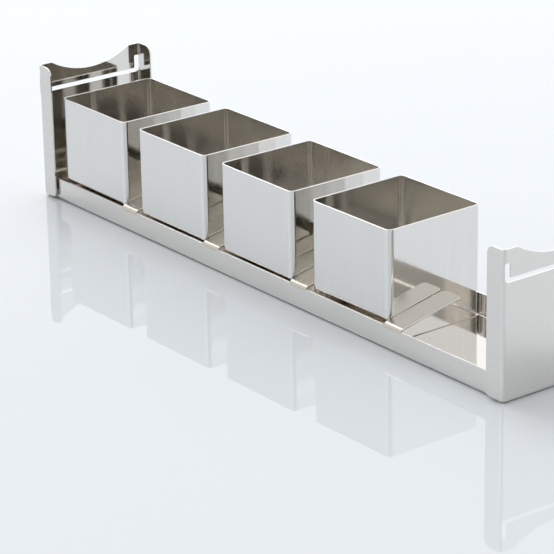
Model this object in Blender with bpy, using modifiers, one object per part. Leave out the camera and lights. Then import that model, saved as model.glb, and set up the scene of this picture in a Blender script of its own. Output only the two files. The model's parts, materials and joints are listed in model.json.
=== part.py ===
# A travel cake mould: a folded steel tray that carries square cube moulds in a row.
# Blender 4.5, metres, +Z up. X runs along the tray, the front wall faces -Y.
# The origin is the bottom centre of the tray.

import math

import bmesh
import bpy
from mathutils import Matrix, Vector

COLLECTION_NAME = "travel_cake_mould"
CUTTER_COLLECTION_NAME = "cutters"

# Tray: one folded sheet
WALL_HEIGHT = 0.0127
TRAY_SHEET = 0.001
TRAY_BEND_RADIUS = 0.0021
FLANGE_WIDTH = 0.0118
FLANGE_WALL_GAP = 0.0009
FLANGE_FOOT_LIFT = 0.0015
FLANGE_TOP_RADIUS = 0.0045
FLANGE_FOOT_RADIUS = 0.0022
CORNER_RELIEF = 0.001
END_BEND_RELIEF = 0.0003

# Finger dip: a shallow arc in the top edge of each end plate
HUMP_WIDTH = 0.0084
DIP_DEPTH = 0.0074
DIP_CORNER_RADIUS = 0.004

# Lid slot in each end plate: a level run with an upright leg at each side
SLOT_RISE_ABOVE_RIM = 0.0012
SLOT_HEIGHT = 0.0022
SLOT_LEG_WIDTH = 0.0033
SLOT_LEG_HEIGHT = 0.0097
SLOT_OUTER_RADIUS = 0.0018
SLOT_INNER_RADIUS = 0.0007
SLOT_LEG_TOP_RADIUS = 0.0008
PLATE_ABOVE_SLOT_LEG = 0.0068

# Cube moulds: bottomless square frames
MOULD_WIDTH = 0.060
MOULD_HEIGHT = 0.059
MOULD_SHEET = 0.0008
MOULD_CORNER_RADIUS = 0.0032
SEAM_OFFSET = 0.006
SEAM_WIDTH = 0.0009
SEAM_PROUD = 0.0002
SEAM_NUB = 0.0003

# Spacer tongues: folded strips that keep the moulds apart
TONGUE_WIDTH = 0.0132
TONGUE_SHEET = 0.001
TONGUE_BEND_RADIUS = 0.002
TONGUE_ROOT_HEIGHT = 0.001
TONGUE_BEND_DROP = 0.0006
TONGUE_REACH = 0.0389
TONGUE_RISE_DEG = 10.8
TONGUE_TIP_RADIUS = 0.0025

# Room round the moulds
BAY_CLEARANCE = 0.0015
LEFT_END_CLEARANCE = 0.0149
RIGHT_END_CLEARANCE = 0.0145
SIDE_CLEARANCE = 0.003

# How each mould has been set down, from the left: the share of the loose room
# that is on its right, the share that is in front of it, and its turn
RIGHT_ROOM_SHARES = (0.0, 0.78, 0.92, 0.5)
FRONT_ROOM_SHARES = (0.58, 0.44, 0.43, 0.95)
MOULD_TURNS_DEG = (0.0, 0.0, 0.0, 0.7)

# Clearances and overruns
SEAT_GAP = 0.0003
CUT_OVERRUN = 0.002
JOIN_OVERLAP = 0.003

# Mesh fineness
BEND_SEGMENTS = 8
MOULD_CORNER_SEGMENTS = 12
CORNER_STEPS = 6
DIP_STEPS = 20
WELD_SHARE = 0.0001
SMOOTH_ANGLE_DEG = 30.0

# Sizes and places that follow
MOULD_COUNT = len(MOULD_TURNS_DEG)
BAY_LENGTH = MOULD_WIDTH + BAY_CLEARANCE
PITCH = BAY_LENGTH + TONGUE_WIDTH
LEFT_BAY_LENGTH = MOULD_WIDTH + LEFT_END_CLEARANCE
RIGHT_BAY_LENGTH = MOULD_WIDTH + RIGHT_END_CLEARANCE
TONGUE_ROW_LENGTH = PITCH * (MOULD_COUNT - 1) + TONGUE_WIDTH
TRAY_LENGTH = LEFT_BAY_LENGTH + TONGUE_ROW_LENGTH + RIGHT_BAY_LENGTH + 2 * TRAY_SHEET
TRAY_WIDTH = MOULD_WIDTH + SIDE_CLEARANCE + 2 * TRAY_SHEET
HALF_LENGTH = TRAY_LENGTH / 2
HALF_WIDTH = TRAY_WIDTH / 2
END_HALF_WIDTH = HALF_WIDTH + FLANGE_WALL_GAP + TRAY_SHEET
LINK_HALF_WIDTH = END_HALF_WIDTH - TRAY_BEND_RADIUS - END_BEND_RELIEF
WALL_END = HALF_LENGTH - TRAY_BEND_RADIUS - CORNER_RELIEF
WELD_DISTANCE = TRAY_SHEET * WELD_SHARE
FLOOR_TOP = TRAY_SHEET
MOULD_FOOT = FLOOR_TOP + SEAT_GAP
MOULD_RIM = MOULD_FOOT + MOULD_HEIGHT
SLOT_TOP = MOULD_RIM + SLOT_RISE_ABOVE_RIM + SLOT_HEIGHT / 2
SLOT_BOTTOM = SLOT_TOP - SLOT_HEIGHT
SLOT_LEG_TOP = SLOT_BOTTOM + SLOT_LEG_HEIGHT
END_HEIGHT = SLOT_LEG_TOP + PLATE_ABOVE_SLOT_LEG
SLOT_HALF_WIDTH = END_HALF_WIDTH - TRAY_SHEET
TONGUE_BEND_START = WALL_HEIGHT - TONGUE_BEND_DROP
TONGUE_ROOT_FOOT = TONGUE_BEND_START - TONGUE_ROOT_HEIGHT

STEEL_COLOR = (0.78, 0.79, 0.80, 1.0)
TONGUE_COLOR = (0.74, 0.73, 0.70, 1.0)
MOULD_COLOR = (0.80, 0.81, 0.82, 1.0)


def clear_scene():
    for obj in list(bpy.data.objects):
        bpy.data.objects.remove(obj, do_unlink=True)


def new_collection(name):
    collection = bpy.data.collections.new(name)
    bpy.context.scene.collection.children.link(collection)
    return collection


def metal(name, color, roughness):
    material = bpy.data.materials.new(name)
    material.use_nodes = True
    shader = material.node_tree.nodes["Principled BSDF"]
    shader.inputs["Base Color"].default_value = color
    shader.inputs["Metallic"].default_value = 1.0
    shader.inputs["Roughness"].default_value = roughness
    return material


def object_from_bmesh(name, bm, collection):
    mesh = bpy.data.meshes.new(name)
    bm.to_mesh(mesh)
    bm.free()
    obj = bpy.data.objects.new(name, mesh)
    collection.objects.link(obj)
    return obj


def hide_as_tool(obj):
    obj.hide_render = True
    obj.display_type = "WIRE"
    return obj


def finish_part(obj, material):
    """Give a finished sub-part its material and smooth bends with crisp sheet edges."""
    obj.data.materials.append(material)
    obj.data.shade_smooth()
    obj.data.set_sharp_from_angle(angle=math.radians(SMOOTH_ANGLE_DEG))


def box_bmesh(low, high):
    """A closed box between two corners."""
    bm = bmesh.new()
    bmesh.ops.create_cube(bm, size=1.0)
    size = Vector(high) - Vector(low)
    centre = (Vector(high) + Vector(low)) / 2
    place = Matrix.Translation(centre) @ Matrix.Diagonal(size.to_4d())
    bmesh.ops.transform(bm, matrix=place, verts=bm.verts)
    return bm


def remove_sides(bm, directions):
    """Open a box on the sides that face the given directions."""
    bm.normal_update()
    doomed = [
        face
        for face in bm.faces
        if any(face.normal.dot(Vector(direction)) > 0.5 for direction in directions)
    ]
    bmesh.ops.delete(bm, geom=doomed, context="FACES")


def round_free_corners(bm, corners, radius):
    """Round the sheet corners that stand at the given points."""
    for corner in corners:
        target = Vector(corner)
        vert = min(bm.verts, key=lambda v: (v.co - target).length)
        bmesh.ops.bevel(
            bm,
            geom=[vert],
            offset=radius,
            offset_type="OFFSET",
            segments=CORNER_STEPS,
            profile=0.5,
            affect="VERTICES",
        )


def add_bends(obj, radius, segments):
    modifier = obj.modifiers.new("bends", "BEVEL")
    modifier.width = radius
    modifier.segments = segments
    modifier.limit_method = "ANGLE"
    modifier.angle_limit = math.radians(SMOOTH_ANGLE_DEG)
    modifier.use_clamp_overlap = False


def add_thickness(obj, sheet):
    modifier = obj.modifiers.new("sheet", "SOLIDIFY")
    modifier.thickness = sheet
    modifier.offset = -1.0
    modifier.use_even_offset = True


def add_boolean(obj, tool, operation):
    modifier = obj.modifiers.new(tool.name, "BOOLEAN")
    modifier.object = tool
    modifier.operation = operation
    modifier.solver = "EXACT"


def box_tool(name, low, high, collection):
    return hide_as_tool(object_from_bmesh(name, box_bmesh(low, high), collection))


def arc_points(centre, radius, start_deg, end_deg, steps):
    points = []
    for step in range(steps + 1):
        angle = math.radians(start_deg + (end_deg - start_deg) * step / steps)
        points.append((centre[0] + radius * math.cos(angle), centre[1] + radius * math.sin(angle)))
    return points


def rounded_outline(corners):
    """Outline of straight runs; each corner is (place, radius), and zero keeps it sharp."""
    points = []
    count = len(corners)
    for index, (place, radius) in enumerate(corners):
        here = Vector(place)
        if radius == 0.0:
            points.append(here)
            continue
        back = (Vector(corners[index - 1][0]) - here).normalized()
        ahead = (Vector(corners[(index + 1) % count][0]) - here).normalized()
        half_angle = back.angle(ahead) / 2
        reach = radius / math.tan(half_angle)
        centre = here + (back + ahead).normalized() * radius / math.sin(half_angle)
        start = here + back * reach - centre
        end = here + ahead * reach - centre
        turn = start.angle_signed(end)
        for step in range(CORNER_STEPS + 1):
            points.append(centre + Matrix.Rotation(-turn * step / CORNER_STEPS, 2) @ start)
    return points


def outline_tool(name, points, low_x, high_x, collection):
    """A prism along X over an outline in Y and Z."""
    curve = bpy.data.curves.new(name, "CURVE")
    curve.dimensions = "2D"
    curve.fill_mode = "BOTH"
    curve.extrude = (high_x - low_x) / 2
    spline = curve.splines.new("POLY")
    spline.points.add(len(points) - 1)
    for point, place in zip(spline.points, points):
        point.co = (place[0], place[1], 0.0, 1.0)
    spline.use_cyclic_u = True
    guide = bpy.data.objects.new(name, curve)
    guide.matrix_world = Matrix.Translation(((low_x + high_x) / 2, 0.0, 0.0)) @ Matrix(
        ((0, 0, 1, 0), (1, 0, 0, 0), (0, 1, 0, 0), (0, 0, 0, 1))
    )
    collection.objects.link(guide)
    bpy.context.view_layer.update()
    evaluated = guide.evaluated_get(bpy.context.evaluated_depsgraph_get())
    mesh = bpy.data.meshes.new_from_object(evaluated)
    bm = bmesh.new()
    bm.from_mesh(mesh)
    bpy.data.meshes.remove(mesh)
    bmesh.ops.remove_doubles(bm, verts=bm.verts, dist=WELD_DISTANCE)
    bmesh.ops.recalc_face_normals(bm, faces=bm.faces)
    tool = object_from_bmesh(name + "_solid", bm, collection)
    tool.matrix_world = guide.matrix_world.copy()
    bpy.data.objects.remove(guide, do_unlink=True)
    return hide_as_tool(tool)


def dip_outline():
    """Finger dip: one shallow arc that meets the level humps in rounded corners."""
    shoulder = END_HALF_WIDTH - HUMP_WIDTH
    radius = (shoulder**2 + DIP_DEPTH**2) / (2 * DIP_DEPTH)
    centre = (0.0, END_HEIGHT - DIP_DEPTH + radius)
    corner_z = END_HEIGHT - DIP_CORNER_RADIUS
    span = radius + DIP_CORNER_RADIUS
    corner_y = math.sqrt(span**2 - (centre[1] - corner_z) ** 2)
    tilt_deg = math.degrees(math.asin(corner_y / span))
    above = END_HEIGHT + CUT_OVERRUN
    left = arc_points(
        (-corner_y, corner_z), DIP_CORNER_RADIUS, 90.0, 90.0 - tilt_deg, CORNER_STEPS
    )
    arc = arc_points(centre, radius, 270.0 - tilt_deg, 270.0 + tilt_deg, DIP_STEPS)
    right = [(-y, z) for y, z in reversed(left)]
    return [(-corner_y, above)] + left + arc[1:-1] + right + [(corner_y, above)]


def slot_outline():
    """Lid slot: a level run that turns up into a leg at each side."""
    outer = SLOT_HALF_WIDTH
    inner = SLOT_HALF_WIDTH - SLOT_LEG_WIDTH
    return rounded_outline([
        ((-outer, SLOT_BOTTOM), SLOT_OUTER_RADIUS),
        ((outer, SLOT_BOTTOM), SLOT_OUTER_RADIUS),
        ((outer, SLOT_LEG_TOP), SLOT_LEG_TOP_RADIUS),
        ((inner, SLOT_LEG_TOP), SLOT_LEG_TOP_RADIUS),
        ((inner, SLOT_TOP), SLOT_INNER_RADIUS),
        ((-inner, SLOT_TOP), SLOT_INNER_RADIUS),
        ((-inner, SLOT_LEG_TOP), SLOT_LEG_TOP_RADIUS),
        ((-outer, SLOT_LEG_TOP), SLOT_LEG_TOP_RADIUS),
    ])


def end_shell(tools):
    """Left end plate with the flange folded at each side."""
    free_x = -HALF_LENGTH + FLANGE_WIDTH
    bm = box_bmesh(
        (-HALF_LENGTH, -END_HALF_WIDTH, FLANGE_FOOT_LIFT), (free_x, END_HALF_WIDTH, END_HEIGHT)
    )
    remove_sides(bm, [(1, 0, 0), (0, 0, 1), (0, 0, -1)])
    for side in (-END_HALF_WIDTH, END_HALF_WIDTH):
        round_free_corners(bm, [(free_x, side, END_HEIGHT)], FLANGE_TOP_RADIUS)
        round_free_corners(bm, [(free_x, side, FLANGE_FOOT_LIFT)], FLANGE_FOOT_RADIUS)
    shell = hide_as_tool(object_from_bmesh("end_shell", bm, tools))
    add_bends(shell, TRAY_BEND_RADIUS, BEND_SEGMENTS)
    add_thickness(shell, TRAY_SHEET)
    return shell


def end_link(tools):
    """Floor strip past the walls' ends and the bend that lifts it into the end plate."""
    half = LINK_HALF_WIDTH
    inner_x = -HALF_LENGTH + TRAY_BEND_RADIUS + CORNER_RELIEF / 2
    riser_top = TRAY_BEND_RADIUS + JOIN_OVERLAP
    bm = box_bmesh((-HALF_LENGTH, -half, 0.0), (inner_x, half, riser_top))
    remove_sides(bm, [(1, 0, 0), (0, 0, 1), (0, 1, 0), (0, -1, 0)])
    link = hide_as_tool(object_from_bmesh("end_link", bm, tools))
    add_bends(link, TRAY_BEND_RADIUS, BEND_SEGMENTS)
    add_thickness(link, TRAY_SHEET)
    return link


def tongue_places():
    """Middle of each tongue along the tray."""
    first = -HALF_LENGTH + TRAY_SHEET + LEFT_BAY_LENGTH + TONGUE_WIDTH / 2
    return [first + index * PITCH for index in range(MOULD_COUNT)]


def build_tray(parts, tools, material):
    """Left half of the tray, mirrored along X, then notched for the tongues."""
    floor_end = HALF_LENGTH - TRAY_BEND_RADIUS
    bm = box_bmesh((-floor_end, -HALF_WIDTH, 0.0), (floor_end, HALF_WIDTH, WALL_HEIGHT))
    remove_sides(bm, [(1, 0, 0), (-1, 0, 0), (0, 0, 1)])
    tray = object_from_bmesh("tray", bm, parts)
    add_bends(tray, TRAY_BEND_RADIUS, BEND_SEGMENTS)
    add_thickness(tray, TRAY_SHEET)

    outside_x = -HALF_LENGTH - CUT_OVERRUN
    through_x = -HALF_LENGTH + TRAY_BEND_RADIUS + WELD_DISTANCE
    plate = end_shell(tools)
    foot_cut = box_tool(
        "plate_foot_cut",
        (outside_x, -LINK_HALF_WIDTH, -CUT_OVERRUN),
        (through_x, LINK_HALF_WIDTH, TRAY_BEND_RADIUS),
        tools,
    )
    slot = outline_tool("lid_slot_cut", slot_outline(), outside_x, through_x, tools)
    dip = outline_tool("finger_dip_cut", dip_outline(), outside_x, through_x, tools)
    add_boolean(plate, foot_cut, "DIFFERENCE")
    add_boolean(plate, slot, "DIFFERENCE")
    add_boolean(plate, dip, "DIFFERENCE")
    for name, side in (("front", -1), ("back", 1)):
        # beside each slot leg the flange stays flat up to the plate's inner face
        outer_y = side * END_HALF_WIDTH
        inner_y = side * SLOT_HALF_WIDTH
        cheek = box_tool(
            "slot_cheek_" + name,
            (-HALF_LENGTH + TRAY_SHEET, min(outer_y, inner_y), SLOT_BOTTOM),
            (-HALF_LENGTH + TRAY_BEND_RADIUS + TRAY_SHEET, max(outer_y, inner_y), SLOT_LEG_TOP),
            tools,
        )
        add_boolean(plate, cheek, "UNION")
        # each wall and its bend stop short of the end plate's bend
        wall_foot_y = side * (HALF_WIDTH - TRAY_BEND_RADIUS)
        past_wall_y = side * (HALF_WIDTH + CUT_OVERRUN)
        relief = box_tool(
            "wall_end_cut_" + name,
            (outside_x, min(wall_foot_y, past_wall_y), -CUT_OVERRUN),
            (-WALL_END, max(wall_foot_y, past_wall_y), WALL_HEIGHT + CUT_OVERRUN),
            tools,
        )
        add_boolean(tray, relief, "DIFFERENCE")

    add_boolean(tray, end_link(tools), "UNION")
    add_boolean(tray, plate, "UNION")

    mirror = tray.modifiers.new("right_half", "MIRROR")
    mirror.use_axis = (True, False, False)
    mirror.use_bisect_axis = (True, False, False)
    mirror.use_bisect_flip_axis = (True, False, False)
    mirror.use_mirror_merge = True
    mirror.merge_threshold = WELD_DISTANCE
    mirror.bisect_threshold = WELD_DISTANCE

    notch_half = TONGUE_WIDTH / 2 + SEAT_GAP
    for number, place in enumerate(tongue_places(), start=1):
        notch = box_tool(
            "tongue_notch_%d" % number,
            (place - notch_half, -HALF_WIDTH - CUT_OVERRUN, TONGUE_ROOT_FOOT - SEAT_GAP),
            (place + notch_half, -HALF_WIDTH + TRAY_BEND_RADIUS, WALL_HEIGHT + CUT_OVERRUN),
            tools,
        )
        add_boolean(tray, notch, "DIFFERENCE")
    finish_part(tray, material)


def tongue_path():
    """Upper side of a tongue in Y and Z: root in the wall, bend, and the rising blade."""
    front = -HALF_WIDTH
    centre = (front + TONGUE_BEND_RADIUS, TONGUE_BEND_START)
    end_deg = 90.0 + TONGUE_RISE_DEG
    bend = arc_points(centre, TONGUE_BEND_RADIUS, 180.0, end_deg, BEND_SEGMENTS)
    tip_y = front + TONGUE_REACH
    rise = (tip_y - bend[-1][0]) * math.tan(math.radians(TONGUE_RISE_DEG))
    return [(front, TONGUE_ROOT_FOOT)] + bend + [(tip_y, bend[-1][1] + rise)]


def tongue_mesh():
    """A strip over the path, with both tip corners rounded."""
    bm = bmesh.new()
    half = TONGUE_WIDTH / 2
    path = tongue_path()
    verts = [bm.verts.new((-half, y, z)) for y, z in path]
    edges = [bm.edges.new(pair) for pair in zip(verts, verts[1:])]
    swept = bmesh.ops.extrude_edge_only(bm, edges=edges)
    moved = [item for item in swept["geom"] if isinstance(item, bmesh.types.BMVert)]
    bmesh.ops.translate(bm, verts=moved, vec=(TONGUE_WIDTH, 0.0, 0.0))
    bmesh.ops.recalc_face_normals(bm, faces=bm.faces)
    bm.normal_update()
    if sum((face.normal.z for face in bm.faces), 0.0) < 0.0:
        bmesh.ops.reverse_faces(bm, faces=bm.faces)
    tip_y, tip_z = path[-1]
    round_free_corners(bm, [(-half, tip_y, tip_z), (half, tip_y, tip_z)], TONGUE_TIP_RADIUS)
    mesh = bpy.data.meshes.new("spacer_tongue")
    bm.to_mesh(mesh)
    bm.free()
    return mesh


def build_tongues(parts, material):
    for number, place in enumerate(tongue_places(), start=1):
        tongue = bpy.data.objects.new("spacer_tongue_%d" % number, tongue_mesh())
        tongue.location = (place, 0.0, 0.0)
        parts.objects.link(tongue)
        add_thickness(tongue, TONGUE_SHEET)
        finish_part(tongue, material)


def mould_bmesh():
    """A square frame around its own foot centre, open at the top and the bottom."""
    half = MOULD_WIDTH / 2
    bm = box_bmesh((-half, -half, 0.0), (half, half, MOULD_HEIGHT))
    remove_sides(bm, [(0, 0, 1), (0, 0, -1)])
    return bm


def seam_tool(number, tools):
    """The closing weld: a low bead up the back face that ends just above the rim."""
    back = MOULD_WIDTH / 2
    low = Vector((SEAM_OFFSET - SEAM_WIDTH / 2, back - MOULD_SHEET / 2, 0.0))
    high = Vector((SEAM_OFFSET + SEAM_WIDTH / 2, back + SEAM_PROUD, MOULD_HEIGHT + SEAM_NUB))
    return box_tool("seam_%d" % number, low, high, tools)


def mould_seats():
    """Foot centre and turn of each mould; the bay on the far right stays empty."""
    seats = []
    for index, tongue_x in enumerate(tongue_places()):
        turn = math.radians(MOULD_TURNS_DEG[index])
        reach = MOULD_WIDTH / 2 * (math.cos(turn) + math.sin(abs(turn)))
        taken = 2 * reach + 2 * SEAT_GAP
        right_room = (BAY_LENGTH - taken) * RIGHT_ROOM_SHARES[index] + SEAT_GAP
        front_room = (MOULD_WIDTH + SIDE_CLEARANCE - taken) * FRONT_ROOM_SHARES[index] + SEAT_GAP
        centre_x = tongue_x - TONGUE_WIDTH / 2 - right_room - reach
        centre_y = -HALF_WIDTH + TRAY_SHEET + front_room + reach
        seats.append(((centre_x, centre_y, MOULD_FOOT), turn))
    return seats


def build_moulds(parts, tools, material):
    for number, (foot_centre, turn) in enumerate(mould_seats(), start=1):
        mould = object_from_bmesh("cube_mould_%d" % number, mould_bmesh(), parts)
        seam = seam_tool(number, tools)
        for obj in (mould, seam):
            obj.location = foot_centre
            obj.rotation_euler = (0.0, 0.0, turn)
        add_bends(mould, MOULD_CORNER_RADIUS, MOULD_CORNER_SEGMENTS)
        add_thickness(mould, MOULD_SHEET)
        add_boolean(mould, seam, "UNION")
        finish_part(mould, material)


def main():
    clear_scene()
    parts = new_collection(COLLECTION_NAME)
    tools = new_collection(CUTTER_COLLECTION_NAME)
    build_tray(parts, tools, metal("tray_steel", STEEL_COLOR, 0.22))
    build_tongues(parts, metal("tongue_steel", TONGUE_COLOR, 0.25))
    build_moulds(parts, tools, metal("mould_steel", MOULD_COLOR, 0.25))


main()
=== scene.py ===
# Looks of the travel cake mould: satin stainless sheet, a pale glossy table and soft studio light.
import json
import math

import bmesh
import bpy
from mathutils import Matrix, Vector

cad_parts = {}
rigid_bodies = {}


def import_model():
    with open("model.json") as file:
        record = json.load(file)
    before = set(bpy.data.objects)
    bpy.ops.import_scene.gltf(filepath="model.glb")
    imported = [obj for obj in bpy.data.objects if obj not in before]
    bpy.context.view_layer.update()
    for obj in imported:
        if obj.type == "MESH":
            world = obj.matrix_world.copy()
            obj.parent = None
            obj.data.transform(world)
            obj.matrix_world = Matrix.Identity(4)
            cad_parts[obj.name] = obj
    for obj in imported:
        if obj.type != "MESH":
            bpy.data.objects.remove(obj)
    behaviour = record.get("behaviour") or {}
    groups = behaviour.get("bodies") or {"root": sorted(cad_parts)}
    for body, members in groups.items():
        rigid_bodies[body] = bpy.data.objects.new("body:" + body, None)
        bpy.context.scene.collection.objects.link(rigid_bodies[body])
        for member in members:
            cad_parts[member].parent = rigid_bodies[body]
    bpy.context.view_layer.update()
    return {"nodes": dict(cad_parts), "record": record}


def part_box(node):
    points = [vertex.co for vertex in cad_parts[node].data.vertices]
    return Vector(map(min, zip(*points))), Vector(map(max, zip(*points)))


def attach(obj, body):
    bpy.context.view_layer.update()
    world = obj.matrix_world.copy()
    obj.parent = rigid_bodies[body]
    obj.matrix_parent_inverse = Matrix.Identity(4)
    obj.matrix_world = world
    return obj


for leftover in list(bpy.data.objects):
    bpy.data.objects.remove(leftover, do_unlink=True)

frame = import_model()

# Camera, fitted to the photograph's frame
IMAGE_SIZE_PX = 554
FOCAL_LENGTH_PX = 2807.16
SENSOR_WIDTH_MM = 36.0
CAMERA_AZIMUTH_DEG = 52.767
CAMERA_ELEVATION_DEG = 20.989
CAMERA_ROLL_DEG = -1.024
CAMERA_PLACE = (1.085902, -0.842282, 0.525865)

# Edges and bends of the sheet metal
MERGE_DISTANCE = 1e-6
SMOOTH_ANGLE_DEG = 32.0
FLAT_ANGLE_DEG = 0.4
EDGE_ROUNDING = 0.0002
EDGE_SEGMENTS = 3
ROUNDING_ATTRIBUTE = "bevel_weight_edge"

# Folded corners of the tray, whose short cut edges stay sharp: how far they reach in from its box
CORNER_REACH_X = 0.0035
CORNER_REACH_Y = 0.0030
CORNER_DROP = 0.005

# Noise patterns: detail and roughness of each, scales per metre, and offsets that keep them apart
STREAK_NOISE = (4.0, 0.6)
CLOUD_NOISE = (3.0, 0.5)
CLOUD_SCALE = 26.0
CLOUD_OFFSET = 3.0
WAVE_NOISE = (1.0, 0.4)
WAVE_SCALE = 9.0
WAVE_OFFSET = 7.0
TABLE_NOISE = (2.0, 0.5)
TABLE_SCALE = 2.0

# Steel: how streaks and clouds dull its colour, what they and wear add to its roughness, and how
# high its waves and streaks are in metres
DULL_SHARE = 0.96
STREAK_COLOR_RANGE = (0.35, 0.65)
CLOUD_COLOR_RANGE = (0.35, 0.7)
CLOUD_COLOR_SHARE = 0.5
STREAK_SATIN_RANGE = (0.3, 0.7)
CLOUD_HAZE_RANGE = (0.4, 0.75)
HAZE_ROUGHNESS = 0.03
WEAR_ROUGHNESS = 0.25
WAVE_HEIGHT = 0.0004
STREAK_HEIGHT = 0.000002

# Worn edges, brightened partly as real wear and partly as a painted highlight: radius that the normals
# are rounded over, and cosines of their lean at no and full wear
WEAR_AND_HIGHLIGHT_RADIUS = 0.0005
WEAR_AND_HIGHLIGHT_SAMPLES = 6
WEAR_AND_HIGHLIGHT_COSINES = (0.995, 0.85)

# Finish of each material slot; the axis with the small streak scale is the one that the brush ran along
# Each wear colour brightens the worn edges: partly real wear and partly a painted highlight on the rims.
FINISHES = {
    "tray_steel": {
        "name": "tray_sheet",
        "color": (0.82, 0.80, 0.77, 1.0),
        "streak_scale": (14.0, 700.0, 700.0),
        "roughness_range": (0.04, 0.08),
        "wear_and_highlight_color": (0.94, 0.94, 0.92, 1.0),
        "offset": 0.0,
    },
    "tongue_steel": {
        "name": "tongue_strip",
        "color": (0.79, 0.765, 0.71, 1.0),
        "streak_scale": (700.0, 20.0, 700.0),
        "roughness_range": (0.13, 0.18),
        "wear_and_highlight_color": (0.94, 0.94, 0.92, 1.0),
        "offset": 2.0,
        # The tongues' root bends get a painted beige highlight tint.
        "painted_root_highlight": True,
    },
    "mould_steel": {
        "name": "mould_sheet",
        "color": (0.845, 0.835, 0.815, 1.0),
        "streak_scale": (700.0, 700.0, 14.0),
        "roughness_range": (0.035, 0.07),
        "wear_and_highlight_color": (0.95, 0.95, 0.93, 1.0),
        "offset": 4.0,
    },
}

# Painted beige highlight tint and extra roughness on the tongues' root bends: how far behind the wall's
# face they start to fade and end
ROOT_HIGHLIGHT_REACH = (0.0007, 0.0033)
ROOT_HIGHLIGHT_COLOR = (0.76, 0.715, 0.64, 1.0)
ROOT_ROUGHNESS = 0.3

# Ground welds round the tongues' roots: how far they reach past the root and over it, their size, and
# a finish like the tray's with next to no worn edges, so next to no wear or painted highlight along them
WELD_REACH = 0.0006
WELD_CHAMFER = WELD_REACH / 2
WELD_OVERLAP = 0.0002
WELD_HEIGHT = 0.0013
WELD_PROUD = 0.00002
WELD_DEPTH = 0.0008
WELD_WEAR_AND_HIGHLIGHT_RADIUS = 0.00001
WELD_FINISH = {**FINISHES["tray_steel"], "name": "ground_weld", "wear_and_highlight_radius": WELD_WEAR_AND_HIGHLIGHT_RADIUS}

# Table top
FLOOR_SIZE = 8.0
FLOOR_COLOR = (0.66, 0.698, 0.735, 1.0)
FLOOR_LIGHTER_SHARE = 1.02
FLOOR_ROUGHNESS = 0.015
FLOOR_CLOUD_RANGE = (0.3, 0.7)
FLOOR_ROUGHNESS_SHARES = (0.9, 1.1)
FLOOR_IOR = 1.65

# Room: white, brighter overhead and near the horizon, shaded on the camera's side, with a window
# straight behind the tray and a grey screen at the camera's left. Each of them fades between two
# cosines of the angle from its direction, which is straight up for the first two.
UPWARD = (0.0, 0.0, 1.0)
ROOM_COLOR = (1.0, 1.0, 1.0, 1.0)
ROOM_LEVEL = 0.86
OVERHEAD_LEVEL = 1.2
OVERHEAD_COSINES = (0.6, 0.8)
HORIZON_GAIN = 1.22
HORIZON_COSINES = (0.33, 0.39)
SHADED_GAIN = 0.6
SHADED_COSINES = (0.3, 0.88)
DARK_GAIN = 0.25
DARK_COSINES = (0.91, 0.96)
WINDOW_GAIN = 1.34
WINDOW_DIRECTION = (-0.743, 0.565, 0.358)
WINDOW_COSINES = (0.80, 0.93)
SCREEN_GAIN = 0.65
SCREEN_DIRECTION = (-0.74, -0.56, 0.37)
SCREEN_COSINES = (0.88, 0.97)

# Soft box over the far left
LAMP_PLACE = (-3.8, 0.3, 5.0)
LAMP_AIM = (0.0, 0.0, 0.0)
LAMP_SIZE = 3.2
LAMP_POWER = 125.0

# Light goes back and forth many times in the gaps between the moulds
LIGHT_BOUNCES = 32


def add_node(tree, kind, inputs=None, **settings):
    """A new node with its settings, and its inputs set to values or linked to sockets."""
    node = tree.nodes.new(kind)
    for name, value in settings.items():
        setattr(node, name, value)
    for key, value in (inputs or {}).items():
        if isinstance(value, bpy.types.NodeSocket):
            tree.links.new(value, node.inputs[key])
        else:
            node.inputs[key].default_value = value
    return node


def new_material(name):
    """A material with a Principled shader; returns the material, its tree and the shader."""
    material = bpy.data.materials.new(name)
    material.use_nodes = True
    tree = material.node_tree
    return material, tree, tree.nodes["Principled BSDF"]


def object_coords(tree):
    """The object's own coordinates, which are the row frame's because CAD nodes sit at the origin."""
    return add_node(tree, "ShaderNodeTexCoord").outputs["Object"]


def stretched_noise(tree, scale, detail, roughness, offset=0.0):
    """Noise in the object's own coordinates, stretched by a scale for each axis."""
    mapping = add_node(tree, "ShaderNodeMapping", {
        "Vector": object_coords(tree),
        "Location": (offset, offset, offset),
        "Scale": scale,
    })
    noise = add_node(tree, "ShaderNodeTexNoise", {
        "Vector": mapping.outputs["Vector"],
        "Scale": 1.0,
        "Detail": detail,
        "Roughness": roughness,
    })
    return noise.outputs["Fac"]


def remap(tree, value, low, high, to_low, to_high):
    """The value's range low to high turned into to_low to to_high, held at the ends."""
    node = add_node(tree, "ShaderNodeMapRange", {
        "Value": value,
        "From Min": low,
        "From Max": high,
        "To Min": to_low,
        "To Max": to_high,
    })
    return node.outputs["Result"]


def maths(tree, operation, first, second):
    """One Math node."""
    node = add_node(tree, "ShaderNodeMath", {0: first, 1: second}, operation=operation)
    return node.outputs["Value"]


def dot_product(tree, first, second):
    """The dot product of two vectors, each a value or a socket."""
    node = add_node(tree, "ShaderNodeVectorMath", {0: first, 1: second}, operation="DOT_PRODUCT")
    return node.outputs["Value"]


def mix_colors(tree, factor, first, second):
    """One Mix node between two colours."""
    node = add_node(tree, "ShaderNodeMix", data_type="RGBA")
    color_inputs = [socket for socket in node.inputs if socket.type == "RGBA"]
    for socket, value in zip([node.inputs[0]] + color_inputs, (factor, first, second)):
        if isinstance(value, bpy.types.NodeSocket):
            tree.links.new(value, socket)
        else:
            socket.default_value = value
    return next(socket for socket in node.outputs if socket.type == "RGBA")


def scaled_color(color, share):
    """The colour with its red, green and blue times a share."""
    return tuple(channel * share for channel in color[:3]) + (1.0,)


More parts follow.
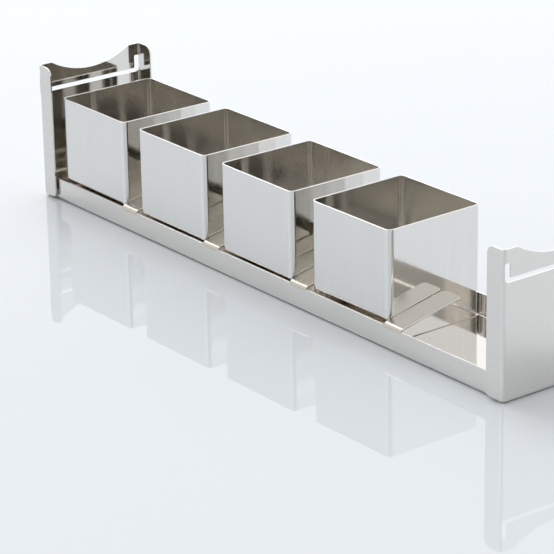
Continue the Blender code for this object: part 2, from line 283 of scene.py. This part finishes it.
def edge_mask(tree, radius):
    """1 along worn edges, which carry wear and a painted highlight, and 0 on open sheet: how far a
    rounded normal leans from the real one.
    """
    rounded = add_node(tree, "ShaderNodeBevel", {"Radius": radius}, samples=WEAR_AND_HIGHLIGHT_SAMPLES)
    geometry = add_node(tree, "ShaderNodeNewGeometry")
    lean = dot_product(tree, rounded.outputs["Normal"], geometry.outputs["Normal"])
    return remap(tree, lean, *WEAR_AND_HIGHLIGHT_COSINES, 0.0, 1.0)


def bump(tree, height, distance, normal=None):
    """One Bump node; distance is the height of the texture in metres."""
    inputs = {"Height": height, "Distance": distance, "Strength": 1.0}
    if normal is not None:
        inputs["Normal"] = normal
    return add_node(tree, "ShaderNodeBump", inputs).outputs["Normal"]


def tongue_names():
    """Names of the tongues' CAD nodes."""
    parts = frame["record"]["subparts"]
    return [part["node"] for part in parts if part["material_slot"] == "tongue_steel"]


def root_highlight_mask(tree):
    """1 on the bends at the tongues' roots, which get a painted beige highlight tint, 0 on their blades.
    """
    place = add_node(tree, "ShaderNodeSeparateXYZ", {"Vector": object_coords(tree)})
    wall_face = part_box(tongue_names()[0])[0][1]
    fade_start, fade_end = ROOT_HIGHLIGHT_REACH
    return remap(tree, place.outputs["Y"], wall_face + fade_start, wall_face + fade_end, 1.0, 0.0)


def steel_color(tree, color, wear_and_highlight_color, streaks, clouds, worn_and_highlighted):
    """The sheet's colour, duller in streaks and clouds and brighter on worn edges, partly as real wear
    and partly as a painted highlight.
    """
    dull = scaled_color(color, DULL_SHARE)
    streaked = mix_colors(tree, remap(tree, streaks, *STREAK_COLOR_RANGE, 0.0, 1.0), color, dull)
    cloudiness = remap(tree, clouds, *CLOUD_COLOR_RANGE, 0.0, CLOUD_COLOR_SHARE)
    clouded = mix_colors(tree, cloudiness, streaked, dull)
    # Brighter worn edges: partly real wear and partly a painted highlight on the rims.
    return mix_colors(tree, worn_and_highlighted, clouded, wear_and_highlight_color)


def steel_roughness(tree, roughness_range, streaks, clouds, worn_and_highlighted):
    """The sheet's roughness, higher in streaks and clouds and on worn edges."""
    satin = remap(tree, streaks, *STREAK_SATIN_RANGE, *roughness_range)
    haze = remap(tree, clouds, *CLOUD_HAZE_RANGE, 0.0, HAZE_ROUGHNESS)
    sheared = maths(tree, "MULTIPLY", worn_and_highlighted, WEAR_ROUGHNESS)
    return maths(tree, "ADD", maths(tree, "ADD", satin, haze), sheared)


def steel_material(name, color, streak_scale, roughness_range, wear_and_highlight_color, offset,
                   wear_and_highlight_radius=WEAR_AND_HIGHLIGHT_RADIUS, painted_root_highlight=False):
    """Stainless sheet: streaks of the brush, soft clouds, a slight waviness and worn edges brightened
    partly as real wear and partly as a painted highlight; on request, a painted beige highlight tint on
    the tongues' root bends.
    """
    material, tree, shader = new_material(name)
    streaks = stretched_noise(tree, streak_scale, *STREAK_NOISE, offset)
    clouds = stretched_noise(tree, (CLOUD_SCALE,) * 3, *CLOUD_NOISE, offset + CLOUD_OFFSET)
    waves = stretched_noise(tree, (WAVE_SCALE,) * 3, *WAVE_NOISE, offset + WAVE_OFFSET)
    worn_and_highlighted = edge_mask(tree, wear_and_highlight_radius)

    finish = steel_color(tree, color, wear_and_highlight_color, streaks, clouds, worn_and_highlighted)
    rough = steel_roughness(tree, roughness_range, streaks, clouds, worn_and_highlighted)
    if painted_root_highlight:
        root = root_highlight_mask(tree)
        # Painted beige highlight tint on the bends at the tongues' roots, with real extra roughness
        # there.
        finish = mix_colors(tree, root, finish, ROOT_HIGHLIGHT_COLOR)
        rough = maths(tree, "ADD", rough, maths(tree, "MULTIPLY", root, ROOT_ROUGHNESS))
    tree.links.new(finish, shader.inputs["Base Color"])
    tree.links.new(rough, shader.inputs["Roughness"])

    wavy = bump(tree, waves, WAVE_HEIGHT)
    tree.links.new(bump(tree, streaks, STREAK_HEIGHT, wavy), shader.inputs["Normal"])
    shader.inputs["Metallic"].default_value = 1.0
    return material


def floor_material():
    """Pale glossy table top with the faintest unevenness."""
    material, tree, shader = new_material("pale_table")
    clouds = stretched_noise(tree, (TABLE_SCALE,) * 3, *TABLE_NOISE)
    lighter = scaled_color(FLOOR_COLOR, FLOOR_LIGHTER_SHARE)
    low, high = (FLOOR_ROUGHNESS * share for share in FLOOR_ROUGHNESS_SHARES)
    rough = remap(tree, clouds, *FLOOR_CLOUD_RANGE, low, high)
    tree.links.new(mix_colors(tree, clouds, FLOOR_COLOR, lighter), shader.inputs["Base Color"])
    tree.links.new(rough, shader.inputs["Roughness"])
    shader.inputs["IOR"].default_value = FLOOR_IOR
    return material


def outside_corners(tree):
    """1 on edges outside the tray's folded corners, 0 in them."""
    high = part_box("tray")[1]
    place = add_node(tree, "ShaderNodeSeparateXYZ", {
        "Vector": add_node(tree, "GeometryNodeInputPosition").outputs["Position"],
    })
    along = maths(tree, "ABSOLUTE", place.outputs["X"], 0.0)
    across = maths(tree, "ABSOLUTE", place.outputs["Y"], 0.0)
    near_end = maths(tree, "GREATER_THAN", along, high[0] - CORNER_REACH_X)
    near_side = maths(tree, "GREATER_THAN", across, high[1] - CORNER_REACH_Y)
    under_top = maths(tree, "LESS_THAN", place.outputs["Z"], high[2] - CORNER_DROP)
    in_corner = maths(tree, "MULTIPLY", maths(tree, "MULTIPLY", near_end, near_side), under_top)
    return maths(tree, "SUBTRACT", 1.0, in_corner)


def sheet_smoothing_tree():
    """Geometry nodes that join the loose facets, shade the bends smooth and mark the edges to round."""
    tree = bpy.data.node_groups.new("sheet_smoothing", "GeometryNodeTree")
    tree.interface.new_socket("Geometry", in_out="INPUT", socket_type="NodeSocketGeometry")
    tree.interface.new_socket("Geometry", in_out="OUTPUT", socket_type="NodeSocketGeometry")
    start = add_node(tree, "NodeGroupInput")
    joined = add_node(tree, "GeometryNodeMergeByDistance", {
        "Geometry": start.outputs["Geometry"],
        "Distance": MERGE_DISTANCE,
    })
    angle = add_node(tree, "GeometryNodeInputMeshEdgeAngle")
    sharp = add_node(tree, "FunctionNodeCompare", {
        0: angle.outputs["Unsigned Angle"],
        1: math.radians(SMOOTH_ANGLE_DEG),
    }, data_type="FLOAT", operation="GREATER_THAN")
    normals = add_node(tree, "GeometryNodeSetMeshNormal", {
        "Mesh": joined.outputs["Geometry"],
        "Remove Custom": True,
        "Edge Sharpness": sharp.outputs["Result"],
        "Face Sharpness": False,
    })
    marked = add_node(tree, "GeometryNodeStoreNamedAttribute", {
        "Geometry": normals.outputs["Mesh"],
        "Name": ROUNDING_ATTRIBUTE,
        "Value": maths(tree, "MULTIPLY", sharp.outputs["Result"], outside_corners(tree)),
    }, data_type="FLOAT", domain="EDGE")
    end = add_node(tree, "NodeGroupOutput")
    tree.links.new(marked.outputs["Geometry"], end.inputs["Geometry"])
    return tree


def finish_sheet(obj, tree):
    """Rounds the cut edges of a sheet piece a little and shades its bends."""
    smoothing = obj.modifiers.new("smooth_bends", "NODES")
    smoothing.node_group = tree
    flat = obj.modifiers.new("flat_faces", "DECIMATE")
    flat.decimate_type = "DISSOLVE"
    flat.angle_limit = math.radians(FLAT_ANGLE_DEG)
    edges = obj.modifiers.new("rounded_edges", "BEVEL")
    edges.width = EDGE_ROUNDING
    edges.segments = EDGE_SEGMENTS
    edges.limit_method = "WEIGHT"
    edges.edge_weight = ROUNDING_ATTRIBUTE
    edges.use_clamp_overlap = False
    weighted = obj.modifiers.new("flat_face_normals", "WEIGHTED_NORMAL")
    weighted.mode = "FACE_AREA"
    weighted.keep_sharp = False


def dress_nodes():
    """Gives each CAD node its finish."""
    tree = sheet_smoothing_tree()
    materials = {slot: steel_material(**finish) for slot, finish in FINISHES.items()}
    for part in frame["record"]["subparts"]:
        obj = frame["nodes"][part["node"]]
        obj.material_slots[0].material = materials[part["material_slot"]]
        finish_sheet(obj, tree)


def weld_outline(low, high):
    """Outline in X and Z of a U that runs down, under and up round a tongue's root."""
    left, right, foot = low[0], high[0], low[2]
    outer_left, outer_right, outer_foot = left - WELD_REACH, right + WELD_REACH, foot - WELD_REACH
    inner_left, inner_right, inner_foot = left + WELD_OVERLAP, right - WELD_OVERLAP, foot + WELD_OVERLAP
    top = foot + WELD_HEIGHT
    return [
        (outer_left, top),
        (outer_left, outer_foot + WELD_CHAMFER),
        (outer_left + WELD_CHAMFER, outer_foot),
        (outer_right - WELD_CHAMFER, outer_foot),
        (outer_right, outer_foot + WELD_CHAMFER),
        (outer_right, top),
        (inner_right, top),
        (inner_right, inner_foot),
        (inner_left, inner_foot),
        (inner_left, top),
    ]


def weld_mesh(name, outline, front):
    """A solid with that outline in X and Z, from its front in Y back into the wall."""
    bm = bmesh.new()
    face = bm.faces.new([bm.verts.new((x, front, z)) for x, z in outline])
    grown = bmesh.ops.extrude_face_region(bm, geom=[face])
    moved = [item for item in grown["geom"] if isinstance(item, bmesh.types.BMVert)]
    bmesh.ops.translate(bm, verts=moved, vec=(0.0, WELD_DEPTH, 0.0))
    bmesh.ops.recalc_face_normals(bm, faces=bm.faces)
    mesh = bpy.data.meshes.new(name)
    bm.to_mesh(mesh)
    bm.free()
    return mesh


def add_welds():
    """For each tongue, a weld that closes the seam round its root, ground all but flush with the wall."""
    material = steel_material(**WELD_FINISH)
    for tongue in tongue_names():
        low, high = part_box(tongue)
        name = tongue.replace("spacer_tongue", "tongue_weld")
        mesh = weld_mesh(name, weld_outline(low, high), low[1] - WELD_PROUD)
        mesh.materials.append(material)
        weld = bpy.data.objects.new(name, mesh)
        bpy.context.scene.collection.objects.link(weld)
        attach(weld, "tray_body")


def add_floor():
    """The table top that the tray stands on."""
    bpy.ops.mesh.primitive_plane_add(size=FLOOR_SIZE, location=(0.0, 0.0, 0.0))
    floor = bpy.context.object
    floor.name = "table_top"
    floor.data.materials.append(floor_material())


def camera_axes():
    """The camera's right, up and back directions in the row frame."""
    azimuth = math.radians(CAMERA_AZIMUTH_DEG)
    elevation = math.radians(CAMERA_ELEVATION_DEG)
    roll = math.radians(CAMERA_ROLL_DEG)
    back = Vector((
        math.sin(azimuth) * math.cos(elevation),
        -math.cos(azimuth) * math.cos(elevation),
        math.sin(elevation),
    ))
    right = Vector(UPWARD).cross(back).normalized()
    up = back.cross(right)
    rolled_right = math.cos(roll) * right + math.sin(roll) * up
    rolled_up = -math.sin(roll) * right + math.cos(roll) * up
    return rolled_right, rolled_up, back


def add_camera():
    """The camera at the photograph's angle."""
    data = bpy.data.cameras.new("camera")
    data.sensor_width = SENSOR_WIDTH_MM
    data.lens = FOCAL_LENGTH_PX / IMAGE_SIZE_PX * SENSOR_WIDTH_MM
    camera = bpy.data.objects.new("camera", data)
    bpy.context.scene.collection.objects.link(camera)
    turn = Matrix(camera_axes()).transposed().to_4x4()
    camera.matrix_world = Matrix.Translation(CAMERA_PLACE) @ turn
    bpy.context.scene.camera = camera


def toward(tree, place, direction, cosines, low, high):
    """A value that is low away from a direction and high towards it, and fades between two cosines."""
    return remap(tree, dot_product(tree, place, tuple(direction)), *cosines, low, high)


def add_world():
    """Soft white room that is shaded on the photograph camera's side, whichever way a view looks."""
    world = bpy.data.worlds.new("studio")
    bpy.context.scene.world = world
    world.use_nodes = True
    tree = world.node_tree
    place = add_node(tree, "ShaderNodeTexCoord").outputs["Generated"]
    back = camera_axes()[2]
    level = toward(tree, place, UPWARD, OVERHEAD_COSINES, ROOM_LEVEL, OVERHEAD_LEVEL)
    gains = (
        toward(tree, place, UPWARD, HORIZON_COSINES, HORIZON_GAIN, 1.0),
        toward(tree, place, WINDOW_DIRECTION, WINDOW_COSINES, 1.0, WINDOW_GAIN),
        toward(tree, place, SCREEN_DIRECTION, SCREEN_COSINES, 1.0, SCREEN_GAIN),
        toward(tree, place, back, SHADED_COSINES, 1.0, SHADED_GAIN),
        toward(tree, place, back, DARK_COSINES, 1.0, DARK_GAIN),
    )
    for gain in gains:
        level = maths(tree, "MULTIPLY", level, gain)
    background = tree.nodes["Background"]
    tree.links.new(level, background.inputs["Strength"])
    background.inputs["Color"].default_value = ROOM_COLOR


def add_soft_box():
    """A square soft box that looks at the tray."""
    data = bpy.data.lights.new("top_soft_box", "AREA")
    data.shape = "SQUARE"
    data.size = LAMP_SIZE
    data.energy = LAMP_POWER
    lamp = bpy.data.objects.new("top_soft_box", data)
    bpy.context.scene.collection.objects.link(lamp)
    lamp.location = LAMP_PLACE
    aim = Vector(LAMP_AIM) - Vector(LAMP_PLACE)
    lamp.rotation_euler = aim.to_track_quat("-Z", "Y").to_euler()


dress_nodes()
add_welds()
add_floor()
add_camera()
add_world()
add_soft_box()
bpy.context.scene.view_settings.view_transform = "Standard"
bpy.context.scene.cycles.glossy_bounces = LIGHT_BOUNCES
bpy.context.scene.cycles.max_bounces = LIGHT_BOUNCES
